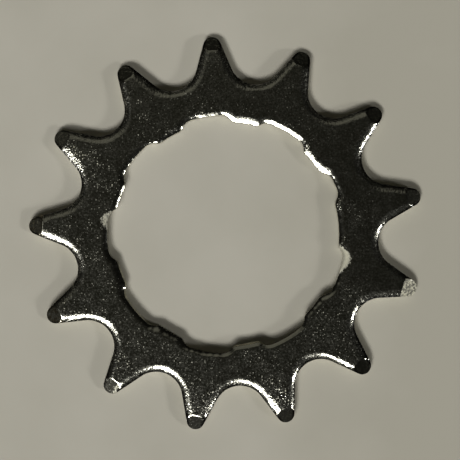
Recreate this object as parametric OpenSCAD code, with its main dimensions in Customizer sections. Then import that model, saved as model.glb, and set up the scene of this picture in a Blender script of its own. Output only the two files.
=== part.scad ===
// Bicycle sprocket, punched from steel plate, for a half-inch roller chain.
// It lies on its back face. The origin is on the axis of the bore at that face, +Z points through the bore
// to the front face, and +X passes through the place of the key tab. All sizes are in millimetres.

/* [Chain and teeth] */
// Number of teeth
teeth = 13; // [12:1:20]
// Pitch of the chain, from roller to roller
chain_pitch = 12.7; // [12:0.1:14]
// Diameter of the chain's rollers
roller_d = 7.75; // [7.4:0.05:8.2]
// Play of a roller in its seat, on the diameter
roller_play = 0.05; // [0:0.01:0.3]
// Height of the tooth tips above the pitch circle
tooth_rise = 2.97; // [2.4:0.01:3.4]
// Angle between a tooth flank and the middle line of its gap
flank_angle = 33; // [28:0.5:36]
// Angle from +X to the first tooth
first_tooth = 11.1; // [0:0.1:27.6]

/* [Plate] */
// Thickness of the plate
plate_t = 2; // [1.8:0.1:3]
// Radial length of the bevels on the tooth tips
bevel_l = 2.15; // [1.2:0.05:2.6]
// Drop of the front bevel at the tip
front_bevel = 1.1; // [0.4:0.05:1.3]
// Rise of the back bevel at the tip
back_bevel = 0.3; // [0.1:0.05:0.5]
// Width of the rolled edge that the punch leaves along the teeth, on the front face
roll_w = 1.05; // [0.6:0.05:1.2]
// Drop of the teeth's rolled edge at the wall
roll_drop = 0.42; // [0.2:0.02:0.6]
// Width of the broken edge on the back face
edge_break = 0.12; // [0.05:0.01:0.3]

/* [Splined bore] */
// Number of tabs round the bore
tabs = 9; // [7:1:10]
// Diameter across the tips of the tabs
tab_d = 33.5; // [30:0.1:36]
// Depth of the notches between the tabs
notch_depth = 1; // [0.5:0.05:1.4]
// Width of a tab at its tip
tab_w = 3.9; // [3:0.05:4.6]
// Extra width of the key tab
key_w = 2.75; // [1:0.05:3]
// Radius in the corners of the notches
notch_round = 2; // [2:0.1:3.2]
// Radius on the corners of the tabs
tab_round = 1.3; // [1.3:0.1:2.5]
// Width of the bore's rolled edge, on the front face
bore_roll_w = 0.65; // [0.4:0.05:1]
// Drop of the bore's rolled edge at the wall
bore_roll_drop = 0.25; // [0.1:0.05:0.5]

/* [Hidden] */
$fn = 96;

// Teeth: each gap has a round roller seat and two straight flanks, and each tip is one arc between two flanks
tooth_step = 360 / teeth;
pitch_r = chain_pitch / (2 * sin(tooth_step / 2));
seat_r = (roller_d + roller_play) / 2;
outer_r = pitch_r + tooth_rise;
// Lean of a flank from the middle line of its tooth
flank_lean = flank_angle - tooth_step / 2;
// Surfaces that would meet in a tangent overlap by this much, so that they cross in a clean line
overlap = seat_r / 400;
tip_at = (outer_r + seat_r - pitch_r * sin(flank_angle)) / (1 - sin(flank_lean)) - overlap;
tip_r = outer_r - tip_at;
// Radius up to which the teeth keep their straight flanks
flank_end_r = tip_at + tip_r * sin(flank_lean);
// Share by which the bevel cones run on past the tips
bevel_run = 1.1;

// Rolled edges, each with its width and drop: an arc from a small angle on the front face down to the wall
tooth_roll = [roll_w, roll_drop];
bore_roll = [bore_roll_w, bore_roll_drop];
roll_start = 10;
// Share by which the cut of the arc runs on past its two ends
roll_run = 1.3;
// Length by which a cut runs past the faces
overcut = plate_t / 2;

// Bore: the tabs stand at even steps, and the key tab is widened to one side
tab_step = 360 / tabs;
tab_r = tab_d / 2;
notch_r = tab_r + notch_depth;
tab_angle = 2 * asin(tab_w / tab_d);
key_angle = 2 * asin(key_w / tab_d);

// Half section of a punched cut: x runs from the inside of the cut to its wall and into the plate, y is up
module punch_section(inside, wall, roll) {
    width = roll[0];
    drop = roll[1];
    end = 2 * atan(drop / width) - roll_start;
    radius = width / (sin(end) - sin(roll_start));
    polygon([
        [inside, -overcut],
        [wall + edge_break + overcut, -overcut],
        [wall, edge_break],
        [wall, plate_t + overcut],
        [inside, plate_t + overcut]
    ]);
    difference() {
        translate([wall - width, plate_t - roll_run * drop])
            square([(1 + roll_run) * width, roll_run * drop + overcut / 2]);
        translate([wall + radius * sin(end), plate_t - drop - radius * cos(end)])
            circle(radius);
    }
}

// Round punched cut about the z axis
module round_cut(radius, roll) {
    rotate_extrude() punch_section(0, radius, roll);
}

// Plate with its tip arcs and the bevels on both faces, before it is punched
module blank() {
    bevel_r = outer_r - bevel_l;
    rim_r = bevel_r + bevel_run * bevel_l;
    intersection() {
        linear_extrude(plate_t) {
            circle(flank_end_r);
            for (i = [0 : teeth - 1])
                rotate(first_tooth + i * tooth_step) translate([tip_at, 0]) circle(tip_r);
        }
        rotate_extrude() polygon([
            [0, 0],
            [bevel_r, 0],
            [rim_r, bevel_run * back_bevel],
            [rim_r, plate_t - bevel_run * front_bevel],
            [bevel_r, plate_t],
            [0, plate_t]
        ]);
    }
}

// Gap between two teeth, on +X: a round seat that runs out into two flanks
module gap_cut() {
    translate([pitch_r, 0]) {
        round_cut(seat_r, tooth_roll);
        for (side = [0, 1])
            mirror([0, side, 0]) rotate(flank_angle) rotate([90, 0, 90])
                linear_extrude(2 * seat_r) punch_section(0, seat_r - overlap, tooth_roll);
    }
}

// Notch between two tabs, on +X: two round corners, the floor between them and the arcs on the tabs
module notch_cut(opening) {
    half_chord = tab_r * sin(opening / 2);
    depth = notch_r - tab_r * cos(opening / 2);
    // The corners stay a little smaller than the single arc that would fill the whole notch
    whole_arc = (pow(half_chord, 2) + pow(depth, 2)) / (2 * depth);
    corner_r = min(notch_round, 0.95 * whole_arc);
    corner_at = notch_r - corner_r;
    swing = acos((pow(corner_at, 2) + pow(tab_r, 2) - pow(corner_r, 2)) / (2 * corner_at * tab_r));
    spread = opening / 2 - swing;
    // The arc on a tab's corner stands in the tab and touches the tab's tip and the notch's corner
    round_at = tab_r + tab_round;
    reach = corner_r + tab_round;
    lean = acos((pow(corner_at, 2) + pow(round_at, 2) - pow(reach, 2)) / (2 * corner_at * round_at));
    turn = asin(corner_at * sin(lean) / reach);
    for (side = [0, 1]) mirror([0, side, 0]) {
        rotate(spread) translate([corner_at, 0]) round_cut(corner_r, bore_roll);
        rotate(spread + lean) translate([round_at, 0]) rotate(180) rotate_extrude(angle = turn)
            translate([tab_round + overlap, -overcut]) square([notch_depth, plate_t + 2 * overcut]);
    }
    rotate(-spread) rotate_extrude(angle = 2 * spread) punch_section(corner_at, notch_r - overlap, bore_roll);
}

// Splined bore: a round cut to the tab tips and a notch after each tab, the first one narrowed by the key tab
module bore_cut() {
    round_cut(tab_r, bore_roll);
    for (i = [0 : tabs - 1]) {
        narrowing = i == 0 ? key_angle : 0;
        rotate((i + 0.5) * tab_step + narrowing / 2) notch_cut(tab_step - tab_angle - narrowing);
    }
}

module sprocket() {
    color("silver") difference() {
        blank();
        for (i = [0 : teeth - 1])
            rotate(first_tooth + (i + 0.5) * tooth_step) gap_cut();
        bore_cut();
    }
}

sprocket();
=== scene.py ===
"""A plated steel bicycle sprocket on pale paper, seen from straight above."""

import math

import bpy
import numpy as np
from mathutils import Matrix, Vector


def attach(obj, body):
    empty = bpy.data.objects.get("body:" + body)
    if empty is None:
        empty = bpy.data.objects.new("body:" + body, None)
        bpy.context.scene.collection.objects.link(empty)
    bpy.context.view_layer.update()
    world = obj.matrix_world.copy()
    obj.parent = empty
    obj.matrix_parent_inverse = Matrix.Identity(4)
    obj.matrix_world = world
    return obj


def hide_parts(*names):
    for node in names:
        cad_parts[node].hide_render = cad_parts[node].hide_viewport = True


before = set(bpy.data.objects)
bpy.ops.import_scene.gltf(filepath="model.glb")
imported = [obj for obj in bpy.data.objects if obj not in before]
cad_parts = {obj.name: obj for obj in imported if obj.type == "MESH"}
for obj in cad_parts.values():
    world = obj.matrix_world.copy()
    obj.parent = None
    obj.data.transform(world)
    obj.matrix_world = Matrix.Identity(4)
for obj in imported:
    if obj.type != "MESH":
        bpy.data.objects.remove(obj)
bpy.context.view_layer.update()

# Sizes of the part in millimetres, as in its CAD source
MM = 0.001
TEETH = 13
CHAIN_PITCH = 12.7
SEAT_R = 3.9
TOOTH_RISE = 2.97
FLANK_ANGLE = math.radians(33)
FIRST_TOOTH = math.radians(11.1)
PLATE_T = 2.0
BEVEL_L = 2.15
FRONT_BEVEL = 1.1
BACK_BEVEL = 0.3
EDGE_BREAK = 0.12
TABS = 9
TAB_R = 16.75
NOTCH_R = 17.75
TAB_W = 3.9
KEY_W = 2.75
NOTCH_ROUND = 2.0
TAB_ROUND = 1.3

# Values that follow from them
TOOTH_STEP = 2 * math.pi / TEETH
PITCH_R = CHAIN_PITCH / (2 * math.sin(TOOTH_STEP / 2))
OUTER_R = PITCH_R + TOOTH_RISE
FLANK_LEAN = FLANK_ANGLE - TOOTH_STEP / 2
TIP_AT = (OUTER_R + SEAT_R - PITCH_R * math.sin(FLANK_ANGLE)) / (1 - math.sin(FLANK_LEAN))
TIP_R = OUTER_R - TIP_AT
BEVEL_R = OUTER_R - BEVEL_L
TAB_STEP = 2 * math.pi / TABS
TAB_ANGLE = 2 * math.asin(TAB_W / (2 * TAB_R))
KEY_ANGLE = 2 * math.asin(KEY_W / (2 * TAB_R))
CORNER_AT = NOTCH_R - NOTCH_ROUND
# Arc on the corner of a tab, seen from the end of the notch's floor: its middle, and the angle of its start
ROUND_AT = TAB_R + TAB_ROUND
ROUND_REACH = NOTCH_ROUND + TAB_ROUND
ROUND_TURN = math.acos((CORNER_AT ** 2 + ROUND_AT ** 2 - ROUND_REACH ** 2) / (2 * CORNER_AT * ROUND_AT))
ROUND_X = ROUND_AT * math.cos(ROUND_TURN)
ROUND_Y = ROUND_AT * math.sin(ROUND_TURN)
TOUCH = NOTCH_ROUND / ROUND_REACH
ROUND_FROM = math.atan2(TOUCH * ROUND_Y, CORNER_AT + TOUCH * (ROUND_X - CORNER_AT))

# The rolled edges run out softly, and the one round the bore is smaller: reach and drop of each
TOOTH_ROLL = (1.25, 0.43)
BORE_ROLL = (0.85, 0.26)
ROLL_POWER = 2.2
# Height over which the bevel's edge is rounded
CREASE = 0.03

# Roughness of the tip bevels, tooth by tooth from the first one, and the brown stain on some of them
TIP_ROUGHNESS = (0.16, 0.14, 0.14, 0.09, 0.11, 0.22, 0.22, 0.175, 0.152, 0.118, 0.16, 0.09, 0.12)
TIP_STAIN = (0, 0, 0, 0, 0, 0.15, 0.7, 0.9, 0.2, 0.1, 0.2, 0, 0)
# Places that vary round the plate, each with its angle and half width in degrees, and its strength
WORN_TIPS = ((343.0, 3.4, 1.0), (234.2, 0.8, 0.5))
WORN_CREASES = ((177.3, 4, 0.7),)
PITTED = (
    (8, 8, 0.4), (60, 25, 0.2), (100, 8, 0.3), (126, 4, 0.3), (154, 6, 0.5),
    (284, 9, 0.4), (316, 13, 0.5), (334, 7, 0.7),
)
# Teeth that are more or less pitted than the ring below them
PITTED_TEETH = (
    (11, 9, -0.6), (153, 5, 1.3), (205, 6, 0.4), (233, 6, 0.6), (261, 6, 1.6),
    (288, 3.2, 2.2), (343, 9, -0.5),
)
# Flanks where the rolled edge along the teeth is flatter
FLAT = ((337.5, 5, 0.75), (155.5, 6.5, 0.42))
# Places where the rolled edge of the bore is pitted
PITTED_LIP = (
    (15, 5, 1.6), (44, 5, 2.2), (60, 8, 1.2), (103, 3, 1.5), (119, 6, 0.8),
    (127, 1.5, 1.0), (356, 4, 1.5),
)
# Stretches where the rolled edge of the bore is broader, with their share
BROAD = ((60, 8, 0.25), (118, 8, 0.2), (129, 4, -0.55), (160, 8, 0.1), (200, 9, 0.6), (240, 9, 0.5))
# Stretches of the bore with a chamfer in place of the roll: angle, half width, drop and reach in mm
CHAMFERS = (
    (34, 4, 0.28, 0.95), (43.5, 6.5, 0.20, 0.65), (60, 9.5, 0.18, 0.57), (80, 9.5, 0.28, 0.95),
    (98, 6, 0.15, 0.5),
)
CHAMFER_POWER = 1.15
# Stretches of the bore that are pressed down to a sloping ledge: angle, half width and reach in mm
LEDGES = ((291, 22, 0.18),)
# Slope of a ledge, and height and run in mm of the step behind it
LEDGE_SLOPE = 0.27
LEDGE_STEP = 0.1
LEDGE_RUN = 0.3
# Places where the edge of the bore is beaten wide and dull: angle, half width, depth in mm and strength
BEATEN = ((348, 8, 1.7, 1.0), (173, 6, 1.9, 0.65))
BEATEN_DROP = 0.05
# Depth in mm of the dents on worn tips
DENT_DEPTH = 0.035
# Stretches of the bore with a burr at the foot of the wall, with its width in mm
BURRS = ((281, 8, 0.16), (212, 20, 0.10))
# Tab with a ragged edge
RAGGED = (239, 8, 0.2)

# Fineness of the mesh
COLUMNS = 1340
FACE_ROWS = 54
WALL_ROWS = 6
SAMPLES = 420


def wrap(angle):
    """Angle brought into the range from -pi to pi."""
    return (angle + math.pi) % (2 * math.pi) - math.pi


def humps(theta, places):
    """Sum of soft humps round the plate, each with its middle and half width in degrees and its height."""
    total = 0
    for middle, half, height in places:
        total = total + height * np.exp(-(wrap(theta - math.radians(middle)) / math.radians(half)) ** 4)
    return total


def lumps(x, y, size, seed):
    """Smooth random relief of about this size in millimetres, mostly between -1 and 1."""
    rng = np.random.RandomState(seed)
    total = np.zeros(np.broadcast(x, y).shape)
    for _ in range(18):
        heading, phase = rng.uniform(0, 2 * math.pi, 2)
        pace = 2 * math.pi / (size * rng.uniform(0.7, 1.5))
        total += np.sin(pace * (x * math.cos(heading) + y * math.sin(heading)) + phase)
    return total / 5


def ripple(theta, size, seed):
    """Smooth random change along the rim of the plate, for waves of about this size in millimetres."""
    return lumps(PITCH_R * np.cos(theta), PITCH_R * np.sin(theta), size, seed)


def notches():
    """Middle angle and half spread of each notch's floor."""
    swing = math.acos((CORNER_AT ** 2 + TAB_R ** 2 - NOTCH_ROUND ** 2) / (2 * CORNER_AT * TAB_R))
    found = []
    for i in range(TABS):
        narrowing = KEY_ANGLE if i == 0 else 0.0
        middle = (i + 0.5) * TAB_STEP + narrowing / 2
        opening = TAB_STEP - TAB_ANGLE - narrowing
        found.append((middle, opening / 2 - swing))
    return found


def gap_distance(r, theta):
    """Distance into the metal from the wall of the nearest tooth gap."""
    turn = theta - FIRST_TOOTH
    phi = np.abs(turn % TOOTH_STEP - TOOTH_STEP / 2)
    x = r * np.cos(phi) - PITCH_R
    y = r * np.sin(phi)
    along = x * math.cos(FLANK_ANGLE) + y * math.sin(FLANK_ANGLE)
    flank = y * math.cos(FLANK_ANGLE) - x * math.sin(FLANK_ANGLE) - SEAT_R
    seat = np.hypot(x, y) - SEAT_R
    return np.where(along > 0, flank, seat)


def bore_distance(r, theta):
    """Distance into the metal from the wall of the splined bore."""
    nearest = r - TAB_R
    for middle, spread in notches():
        past = np.abs(wrap(theta - middle)) - spread
        x, y = r * np.cos(past), r * np.sin(past)
        nearest = np.minimum(nearest, np.where(past < 0, r - NOTCH_R, np.inf))
        nearest = np.minimum(nearest, np.hypot(x - CORNER_AT, y) - NOTCH_ROUND)
        # On the corner of a tab the middle of the arc stands in the metal
        off_x, off_y = x - ROUND_X, y - ROUND_Y
        before = off_x * ROUND_Y - off_y * ROUND_X >= 0
        after = off_y * (ROUND_X - CORNER_AT) - off_x * ROUND_Y >= 0
        on_arc = before & after & (np.abs(past) < TAB_STEP / 2)
        nearest = np.where(on_arc, TAB_ROUND - np.hypot(off_x, off_y), nearest)
    return nearest


def bore_radius(theta):
    """Radius of the bore wall at each angle."""
    radius = np.full_like(theta, TAB_R)
    for middle, spread in notches():
        past = np.abs(wrap(theta - middle)) - spread
        across = CORNER_AT * np.sin(past)
        corner = CORNER_AT * np.cos(past) + np.sqrt(np.maximum(NOTCH_ROUND ** 2 - across ** 2, 0))
        turn = past - ROUND_TURN
        across = ROUND_AT * np.sin(turn)
        tip = ROUND_AT * np.cos(turn) - np.sqrt(np.maximum(TAB_ROUND ** 2 - across ** 2, 0))
        radius = np.where(past < ROUND_TURN, tip, radius)
        radius = np.where(past < ROUND_FROM, corner, radius)
        radius = np.where(past < 0, NOTCH_R, radius)
    return radius


def tooth_radius(theta):
    """Radius of the outside wall at each angle."""
    turn = theta - FIRST_TOOTH
    phi = np.abs(turn % TOOTH_STEP - TOOTH_STEP / 2)
    flank = (SEAT_R - PITCH_R * math.sin(FLANK_ANGLE)) / np.sin(phi - FLANK_ANGLE)
    across = PITCH_R * np.sin(phi)
    seat = PITCH_R * np.cos(phi) - np.sqrt(np.maximum(SEAT_R ** 2 - across ** 2, 0))
    seat_end = math.atan2(SEAT_R * math.cos(FLANK_ANGLE), PITCH_R - SEAT_R * math.sin(FLANK_ANGLE))
    gap = np.where(phi < seat_end, seat, flank)
    off = TOOTH_STEP / 2 - phi
    side = TIP_AT * np.sin(off)
    tip = TIP_AT * np.cos(off) + np.sqrt(np.maximum(TIP_R ** 2 - side ** 2, 0))
    tip_end = math.atan2(TIP_R * math.cos(FLANK_LEAN), TIP_AT + TIP_R * math.sin(FLANK_LEAN))
    return np.where(off < tip_end, tip, gap)


def per_tooth(theta, values):
    """The value of the tooth that each angle belongs to."""
    number = np.round((theta - FIRST_TOOTH) / TOOTH_STEP).astype(int) % TEETH
    return np.array(values)[number]


def pitting(r, theta):
    """How thickly the face is pitted, and so how many painted glints its specks give: more on one half, and
    most in the places named above.
    """
    ring = 0.55 + 0.35 * np.cos(theta - math.radians(200)) + humps(theta, PITTED)
    return np.maximum(0, ring + humps(theta, PITTED_TEETH) * np.clip((r - 22) / 1.5, 0, 1))


def on_tooth_roll(r, theta):
    """Share of the rolled edge along the teeth at each place: 1 at the wall and 0 on the flat face."""
    reach = TOOTH_ROLL[0] * (1 + 0.10 * ripple(theta, 6, 1) + 0.05 * ripple(theta, 1.5, 2))
    return np.clip(1 - gap_distance(r, theta) / reach, 0, 1)


def bore_breadth(theta):
    """Size of the rolled edge round the bore at each angle, as a share of its usual size."""
    return 1 + 0.10 * ripple(theta, 5, 3) + 0.05 * ripple(theta, 1.2, 4) + humps(theta, BROAD)


def on_bore_roll(r, theta):
    """Share of the rolled edge round the bore at each place: 1 at the wall and 0 on the flat face."""
    return np.clip(1 - bore_distance(r, theta) / (BORE_ROLL[0] * bore_breadth(theta)), 0, 1)


def beaten(r, theta):
    """How far the face is beaten down at each place beside the bore, from 0 to 1."""
    total = 0
    for middle, half, depth, strength in BEATEN:
        rim = depth * np.exp(-(wrap(theta - math.radians(middle)) / math.radians(half)) ** 2 * 1.2)
        total = total + strength * np.clip((rim - bore_distance(r, theta)) / 1.2, 0, 1)
    return total


def on_bevel(r):
    """1 on the tip bevels and 0 on the flat face, with a soft step."""
    return 1 / (1 + np.exp(-np.clip((r - BEVEL_R) / 0.05, -50, 50)))


def top_height(r, theta):
    """Height of the front face, with its rolled edges, tip bevels and wear."""
    face = PLATE_T - TOOTH_ROLL[1] * (1 - humps(theta, FLAT)) * on_tooth_roll(r, theta) ** ROLL_POWER
    face = face - BEATEN_DROP * beaten(r, theta)
    depth = bore_distance(r, theta)
    rolled = 1 - humps(theta, [(middle, half, strength) for middle, half, _, strength in BEATEN])
    for middle, half, drop, reach in CHAMFERS:
        there = humps(theta, [(middle, half, 1.0)])
        face = face - there * drop * np.clip(1 - depth / reach, 0, 1) ** CHAMFER_POWER
        rolled = rolled - there
    for middle, half, reach in LEDGES:
        there = humps(theta, [(middle, half, 1.0)])
        step = np.clip(1 - (depth - reach) / LEDGE_RUN, 0, 1)
        slope = LEDGE_SLOPE * np.clip(reach - depth, 0, 2)
        face = face - there * (slope + LEDGE_STEP * step ** 2 * (3 - 2 * step))
        rolled = rolled - there
    drop = BORE_ROLL[1] * bore_breadth(theta) * np.clip(rolled, 0, 1)
    face = face - drop * on_bore_roll(r, theta) ** ROLL_POWER
    bevel = PLATE_T - FRONT_BEVEL / BEVEL_L * (r - BEVEL_R)
    # A soft minimum leaves a small round along the bevel's edge
    height = -CREASE * np.logaddexp(-face / CREASE, -bevel / CREASE)
    x, y = r * np.cos(theta), r * np.sin(theta)
    dents = humps(theta, WORN_TIPS) * on_bevel(r) * (lumps(x, y, 0.5, 5) - 0.6)
    return height + DENT_DEPTH * np.minimum(dents, 0)


def spread_evenly(at, need, count):
    """Places along each row of at so that the same need lies between two neighbours."""
    steps = np.diff(at, axis=-1) * (need[..., 1:] + need[..., :-1]) / 2
    total = np.concatenate([np.zeros_like(at[..., :1]), np.cumsum(steps, axis=-1)], axis=-1)
    share = total / total[..., -1:]
    wanted = np.linspace(0, 1, count)
    return np.array([np.interp(wanted, s, a) for s, a in zip(share, at)])


def column_angles():
    """Angles of the mesh columns, close together where either outline runs steeply."""
    theta = np.linspace(0, 2 * math.pi, 40001)
    need = np.zeros_like(theta)
    for radius, spacing in ((tooth_radius(theta), 0.2), (bore_radius(theta), 0.22)):
        slope = np.gradient(radius, theta)
        need += np.hypot(radius, np.minimum(np.abs(slope), 200)) / spacing
    return spread_evenly(theta[None], need[None], COLUMNS + 1)[0][:-1]


def face_radii(theta, low, high):
    """Radii of the rows on the front face, close together on the rolled edges and at the bevel."""
    share = np.linspace(0, 1, SAMPLES)
    r = low[:, None] + (high - low)[:, None] * share
    angle = np.broadcast_to(theta[:, None], r.shape)
    need = np.full_like(r, 0.9)
    for distance, reach in ((gap_distance(r, angle), 1.5), (bore_distance(r, angle), 2.0)):
        change = np.abs(np.gradient(distance, axis=1) / np.gradient(r, axis=1))
        need += np.where(distance < reach, 16 / reach * change, 0)
    need += 50 * np.exp(-((r - BEVEL_R) / 0.1) ** 2) + 4 * on_bevel(r)
    return spread_evenly(r, need, FACE_ROWS)


def section_rows(theta):
    """Section of the plate at each angle, as a closed loop of rows: radius, height and wear of each."""
    chips = np.clip(ripple(theta, 0.7, 6) - 0.1, 0, 1) * humps(theta, [RAGGED])
    low = bore_radius(theta) + 0.012 * ripple(theta, 1.5, 7) + chips
    high = tooth_radius(theta) + 0.012 * ripple(theta, 1.8, 8)
    face_r = face_radii(theta, low, high)
    angle = theta[:, None]
    face_z = top_height(face_r, angle)
    face_wear = humps(angle, WORN_TIPS) * on_bevel(face_r) + beaten(face_r, angle)
    face_wear = face_wear + humps(angle, WORN_CREASES) * np.exp(-((face_r - BEVEL_R) / 0.08) ** 2)
    none = np.zeros_like(theta)
    rows = []
    # Bore wall, from its foot up, with the burr that the punch leaves in places
    burr = humps(theta, BURRS) * (1 + 0.25 * ripple(theta, 2, 10)) + 0.02
    scuffed = np.clip(8 * humps(theta, BURRS), 0, 0.7)
    for share, part in ((0.03, 1.0), (0.06, 0.95), (0.15, 0.12), (0.3, 0.03), (0.6, 0), (0.93, 0)):
        height = EDGE_BREAK + (face_z[:, 0] - EDGE_BREAK) * share
        rows.append((low - burr * part, height, 0.1 + scuffed * (part > 0.1)))
    for k in range(FACE_ROWS):
        rows.append((face_r[:, k], face_z[:, k], face_wear[:, k]))
    # Outside wall, from the top down
    back_tip = np.maximum(0, BACK_BEVEL * (high - BEVEL_R) / BEVEL_L)
    foot = back_tip + EDGE_BREAK
    for share, part in ((0.07, 0), (0.25, 0), (0.45, 0.2), (0.6, 0.6), (0.8, 0.9), (1.0, 1.0)):
        torn = 0.015 * part * (ripple(theta, 0.6, 11) - 1)
        height = face_z[:, -1] + (foot - face_z[:, -1]) * share
        rows.append((high + torn, height, none + 0.3 * part))
    # Back face, from the tips in
    outer_foot = high - EDGE_BREAK
    rows.append((outer_foot, np.maximum(0, BACK_BEVEL * (outer_foot - BEVEL_R) / BEVEL_L), none))
    inner_foot = low + EDGE_BREAK
    bevel_foot = np.minimum(outer_foot - 0.02, BEVEL_R)
    for share in (0.0, 0.25, 0.5, 0.75, 1.0):
        rows.append((bevel_foot + (inner_foot - bevel_foot) * share, none, none))
    rows.append((low - burr, none + EDGE_BREAK, scuffed))
    return [np.stack(part, axis=1) for part in zip(*rows)]


def sprocket_mesh():
    """Closed mesh of the sprocket: the columns go round the axis and the rows round the section."""
    theta = column_angles()
    r, z, wear = section_rows(theta)
    angle = theta[:, None]
    points = np.stack([r * np.cos(angle), r * np.sin(angle), z], axis=-1) * MM
    count = r.shape[1]
    column, row = np.meshgrid(np.arange(COLUMNS), np.arange(count), indexing="ij")
    next_column, next_row = (column + 1) % COLUMNS, (row + 1) % count
    quads = np.stack([
        column * count + row,
        column * count + next_row,
        next_column * count + next_row,
        next_column * count + row,
    ], axis=-1)
    mesh = bpy.data.meshes.new("sprocket_plate")
    mesh.from_pydata(points.reshape(-1, 3).tolist(), [], quads.reshape(-1, 4).tolist())
    on_face = (row >= WALL_ROWS) & (row < WALL_ROWS + FACE_ROWS)
    bevel = on_bevel(r) * on_face
    lip = on_bore_roll(r, angle) * on_face
    pits = pitting(r, angle) * (1 - 0.9 * lip) + humps(angle, PITTED_LIP) * (lip > 0)
    marks = {
        "bevel": bevel,
        "tip_roughness": per_tooth(angle, TIP_ROUGHNESS) + 0 * r,
        "stain": per_tooth(angle, TIP_STAIN) * bevel,
        "roll": on_tooth_roll(r, angle) * on_face,
        "lip": lip,
        "wear": wear,
        "pitting": pits * (1 - bevel),
    }
    for name, values in marks.items():
        mesh.attributes.new(name, "FLOAT", "POINT").data.foreach_set("value", values.ravel())
    mesh.polygons.foreach_set("use_smooth", [True] * len(mesh.polygons))
    mesh.set_sharp_from_angle(angle=math.radians(32))
    mesh.update()
    return mesh


def node_maker(tree):
    """Short form for adding a node with its settings and inputs."""
    def make(kind, inputs=None, **settings):
        node = tree.nodes.new(kind)
        for name, value in settings.items():
            setattr(node, name, value)
        for name, value in (inputs or {}).items():
            if isinstance(value, bpy.types.NodeSocket):
                tree.links.new(value, node.inputs[name])
            else:
                node.inputs[name].default_value = value
        return node
    return make


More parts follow.
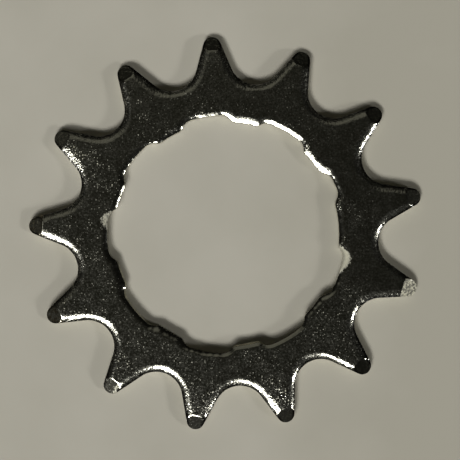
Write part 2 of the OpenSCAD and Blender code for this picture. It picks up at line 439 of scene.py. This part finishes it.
def plated_steel():
    """Bright plating over stamped steel: finely pitted, with specks painted lighter as glints, dull on worn
    tips, and painted near black along the rolled edges of the teeth as shade.
    """
    material = bpy.data.materials.new("plated_steel")
    material.use_nodes = True
    tree = material.node_tree
    tree.nodes.clear()
    make = node_maker(tree)

    def noise(scale, detail):
        made = make("ShaderNodeTexNoise", {"Vector": place, "Scale": scale, "Detail": detail})
        return made.outputs["Fac"]

    def relief(scale, detail):
        # Centred on zero, so that a change of its strength makes no slope of its own
        return combine("SUBTRACT", noise(scale, detail), 0.5)

    def ramp(value, low, high, start=0.0, end=1.0):
        return make("ShaderNodeMapRange", {
            "Value": value, "From Min": low, "From Max": high, "To Min": start, "To Max": end,
        }).outputs["Result"]

    def combine(operation, first, second):
        return make("ShaderNodeMath", {0: first, 1: second}, operation=operation).outputs["Value"]

    def mix(factor, first, second):
        return make("ShaderNodeMix", {0: factor, 6: first, 7: second}, data_type="RGBA").outputs[2]

    def dots(scale, size, rarity):
        cells = make("ShaderNodeTexVoronoi", {"Vector": place, "Scale": scale})
        chance = make("ShaderNodeSeparateColor", {"Color": cells.outputs["Color"]}).outputs["Red"]
        round_dot = make("ShaderNodeMapRange", {
            "Value": cells.outputs["Distance"],
            "From Min": 0.0, "From Max": size, "To Min": 1.0, "To Max": 0.0,
        }, interpolation_type="SMOOTHSTEP").outputs["Result"]
        return combine("MULTIPLY", round_dot, combine("POWER", chance, rarity))

    place = make("ShaderNodeTexCoord").outputs["Object"]
    bevel, tip_roughness, stain, roll, lip, wear, pitted = (
        make("ShaderNodeAttribute", attribute_name=name).outputs["Fac"]
        for name in ("bevel", "tip_roughness", "stain", "roll", "lip", "wear", "pitting")
    )

    # Worn patches break up where the wear is weak
    broken = combine("ADD", wear, ramp(noise(4200.0, 3.0), 0.3, 0.7, -0.2, 0.2))
    worn = combine("MULTIPLY", ramp(broken, 0.25, 0.75), ramp(wear, 0.1, 0.3))

    # Specks where the plating is pitted, in clumps: rough pits whose lighter golden colour is a painted
    # glint
    pits_and_glints = combine("MAXIMUM", dots(4600.0, 0.5, 3.5), dots(2300.0, 0.36, 5.0))
    pits_and_glints = combine("MULTIPLY", pits_and_glints, ramp(noise(450.0, 2.0), 0.35, 0.65, 0.3, 1.5))
    pits_and_glints = combine("MULTIPLY", pits_and_glints, pitted)

    # A fine waviness, stronger on rolled edges and where they are pitted, and a coarse grain on worn tips
    grain = combine("MULTIPLY", worn, bevel)
    height = combine("MULTIPLY", relief(2400.0, 1.0), ramp(roll, 0.0, 0.3, 0.4, 1.0))
    crumbs = combine("MULTIPLY", ramp(pitted, 1.2, 4.0, 0.0, 5.0), ramp(lip, 0.0, 0.1, 0.45, 1.0))
    crumbs = combine("ADD", ramp(roll, 0.02, 0.2, 0.0, 0.5), crumbs)
    height = combine("ADD", height, combine("MULTIPLY", relief(4200.0, 1.0), crumbs))
    coarse = combine("MULTIPLY", relief(1800.0, 2.0), ramp(grain, 0.0, 1.0, 0.0, 2.0))
    height = combine("ADD", height, coarse)
    bump = make("ShaderNodeBump", {"Height": height, "Strength": 1.0, "Distance": 0.00004})

    plating = (0.58, 0.57, 0.48, 1.0)
    bare = (0.54, 0.52, 0.41, 1.0)
    dull = (0.16, 0.155, 0.13, 1.0)
    brown = (0.30, 0.26, 0.17, 1.0)
    painted_edge_shade = (0.10, 0.097, 0.088, 1.0)
    painted_glint_gold = (0.70, 0.68, 0.54, 1.0)
    # Painted shade: the steepest part of the rolled edge beside the wall is coloured near black, standing
    # in for the dark reflection there
    colour = mix(ramp(roll, 0.70, 0.84), plating, painted_edge_shade)
    colour = mix(combine("MULTIPLY", stain, ramp(noise(1800.0, 3.0), 0.35, 0.6)), colour, brown)
    scraped = mix(combine("MULTIPLY", grain, ramp(noise(2900.0, 2.0), 0.38, 0.58)), bare, dull)
    scraped = mix(ramp(lip, 0.6, 1.0, 0.0, 0.6), scraped, dull)
    # Painted highlight: the specks are coloured lighter and golden, as glints
    colour = mix(pits_and_glints, mix(worn, colour, scraped), painted_glint_gold)

    # The rolled edges along the teeth are stretched and scatter more than the flat face
    fine = ramp(noise(3600.0, 2.0), 0.3, 0.7, -0.035, 0.07)
    fine = combine("MULTIPLY", fine, ramp(pitted, 0.2, 1.0, 0.7, 1.15))
    mottle = combine("ADD", fine, ramp(noise(600.0, 3.0), 0.3, 0.7, -0.02, 0.02))
    mottle = combine("MULTIPLY", mottle, ramp(lip, 0.0, 0.3, 1.0, 0.4))
    roughness = combine("ADD", ramp(roll, 0.0, 0.3, 0.13, 0.17), mottle)
    roughness = make("ShaderNodeMix", {0: bevel, 2: roughness, 3: tip_roughness}).outputs[0]
    roughness = combine("ADD", roughness, combine("MULTIPLY", pits_and_glints, 0.42))
    roughness = combine("MAXIMUM", roughness, combine("MULTIPLY", worn, 0.62))
    shader = make("ShaderNodeBsdfPrincipled", {
        "Base Color": colour, "Metallic": 1.0, "Roughness": roughness, "Normal": bump.outputs["Normal"],
    })
    make("ShaderNodeOutputMaterial", {"Surface": shader.outputs["BSDF"]})
    return material


def paper():
    """Pale matt paper, with painted shade that darkens it towards +X."""
    material = bpy.data.materials.new("paper")
    material.use_nodes = True
    tree = material.node_tree
    make = node_maker(tree)
    place = make("ShaderNodeTexCoord").outputs["Object"]
    cloud = make("ShaderNodeTexNoise", {"Vector": place, "Scale": 60.0, "Detail": 4.0}).outputs["Fac"]
    # Painted shade: the paper grows darker towards +X
    across = make("ShaderNodeSeparateXYZ", {"Vector": place}).outputs["X"]
    painted_shade = make("ShaderNodeMapRange", {
        "Value": across, "From Min": 0.0, "From Max": 0.03, "To Min": 0.0, "To Max": -0.6,
    }).outputs["Result"]
    ramp = make("ShaderNodeValToRGB", {
        "Fac": make("ShaderNodeMath", {0: cloud, 1: painted_shade}, operation="ADD").outputs["Value"],
    })
    low, high = ramp.color_ramp.elements
    low.position, low.color = 0.0, (0.385, 0.366, 0.300, 1)
    high.position, high.color = 0.6, (0.447, 0.426, 0.358, 1)
    shader = tree.nodes["Principled BSDF"]
    tree.links.new(ramp.outputs["Color"], shader.inputs["Base Color"])
    shader.inputs["Roughness"].default_value = 0.9
    shader.inputs["Specular IOR Level"].default_value = 0.1
    return material


def add_object(name, data):
    """New object in the scene."""
    made = bpy.data.objects.new(name, data)
    bpy.context.scene.collection.objects.link(made)
    return made


def add_floor():
    """Sheet of paper that the sprocket lies on."""
    half = 3.0
    mesh = bpy.data.meshes.new("floor")
    corners = [(-half, -half, 0), (half, -half, 0), (half, half, 0), (-half, half, 0)]
    mesh.from_pydata(corners, [], [(0, 1, 2, 3)])
    mesh.materials.append(paper())
    add_object("floor", mesh)


def direction(azimuth, from_vertical):
    """Unit vector towards a place in the sky: azimuth from +X, both angles in degrees."""
    a, t = math.radians(azimuth), math.radians(from_vertical)
    return Vector((math.sin(t) * math.cos(a), math.sin(t) * math.sin(a), math.cos(t)))


def add_sun(name, azimuth, from_vertical, strength, spread):
    """Soft lamp far away, seen under an angle of spread degrees."""
    lamp = bpy.data.lights.new(name, "SUN")
    lamp.energy = strength
    lamp.angle = math.radians(spread)
    made = add_object(name, lamp)
    made.rotation_mode = "QUATERNION"
    made.rotation_quaternion = direction(azimuth, from_vertical).to_track_quat("Z", "Y")


def add_world():
    """Dim room: dark overhead, a faint glow on the far side and paler towards the horizon."""
    world = bpy.data.worlds.new("room")
    world.use_nodes = True
    bpy.context.scene.world = world
    tree = world.node_tree
    tree.nodes.clear()
    make = node_maker(tree)
    seen = make("ShaderNodeTexCoord").outputs["Generated"]
    height = make("ShaderNodeSeparateXYZ", {"Vector": seen}).outputs["Z"]
    sky = make("ShaderNodeValToRGB", {"Fac": height})
    stops = sky.color_ramp.elements
    stops[0].position, stops[0].color = 0.0, (0.50, 0.49, 0.44, 1)
    stops[1].position, stops[1].color = 1.0, (0.012, 0.0118, 0.009, 1)
    levels = ((0.12, 0.40), (0.25, 0.08), (0.4, 0.014), (0.6, 0.005), (0.85, 0.006), (0.97, 0.011))
    for position, level in levels:
        stops.new(position).color = (level, 0.98 * level, 0.82 * level, 1)
    near = make("ShaderNodeVectorMath", {0: seen, 1: direction(106, 30)}, operation="DOT_PRODUCT")
    glow = make("ShaderNodeMapRange", {
        "Value": near.outputs["Value"],
        "From Min": 0.92, "From Max": 0.985, "To Min": 0.0, "To Max": 0.11,
    }).outputs["Result"]
    # One side of the room is darker
    side = make("ShaderNodeSeparateXYZ", {"Vector": seen}).outputs["X"]
    level = make("ShaderNodeMapRange", {
        "Value": side, "From Min": -0.15, "From Max": 0.15, "To Min": 1.2, "To Max": 0.7,
    }).outputs["Result"]
    room = make("ShaderNodeBackground", {"Color": sky.outputs["Color"], "Strength": level})
    window = make("ShaderNodeBackground", {"Color": (1.0, 0.98, 0.85, 1), "Strength": glow})
    both = make("ShaderNodeAddShader", {0: room.outputs["Background"], 1: window.outputs["Background"]})
    make("ShaderNodeOutputWorld", {"Surface": both.outputs["Shader"]})


def add_camera():
    """Camera straight above, framed as the photograph is."""
    image_px = 460
    mm_per_px = 0.1486
    centre_px = (226.5, 234.2)
    roll = math.radians(0.22)
    distance = 240.0
    data = bpy.data.cameras.new("camera")
    data.sensor_width = 36.0
    data.lens = data.sensor_width * distance / (image_px * mm_per_px)
    camera = add_object("camera", data)
    x = (image_px / 2 - centre_px[0]) * mm_per_px
    y = (centre_px[1] - image_px / 2) * mm_per_px
    camera.location = Vector((x, y, PLATE_T + distance)) * MM
    camera.rotation_euler = (0, 0, -roll)
    data.clip_start, data.clip_end = 0.01, 20.0
    bpy.context.scene.camera = camera


sprocket = add_object("sprocket_plate", sprocket_mesh())
sprocket.data.materials.append(plated_steel())
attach(sprocket, "root")
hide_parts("sprocket")
add_floor()
add_sun("key", 248, 40, 1.9, 16)
add_sun("key_left", 228, 37, 0.55, 14)
add_sun("key_right", 266, 37, 0.35, 13)
add_sun("fill", 338, 61, 0.85, 9)
add_world()
add_camera()
bpy.context.scene.view_settings.view_transform = "Standard"

bpy.context.view_layer.update()
